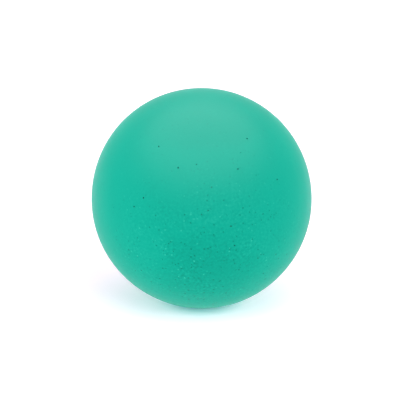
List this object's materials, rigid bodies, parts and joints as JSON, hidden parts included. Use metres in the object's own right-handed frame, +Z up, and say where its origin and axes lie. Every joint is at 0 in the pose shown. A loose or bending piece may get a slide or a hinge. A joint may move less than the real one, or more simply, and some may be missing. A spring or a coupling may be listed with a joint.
{
  "type": "foam dodgeball",
  "caption": "Round soft foam ball for throwing games: a foam core, a base coat that seals its cells and a matte coloured skin with fine open pores.",
  "frame": {"origin": "centre of the ball", "axes": "+Z up, the pictured side towards -Y, +X to the picture's right"},
  "size_m": [0.178, 0.178, 0.178],
  "materials": {
    "foam": "open-cell foam, matte",
    "coat": "thin elastomer coat, satin",
    "skin": "matte with fine pores"
  },
  "bodies": {
    "root": {"foam_core": "foam", "base_coat": "coat", "outer_skin": "skin"}
  },
  "joints": []
}
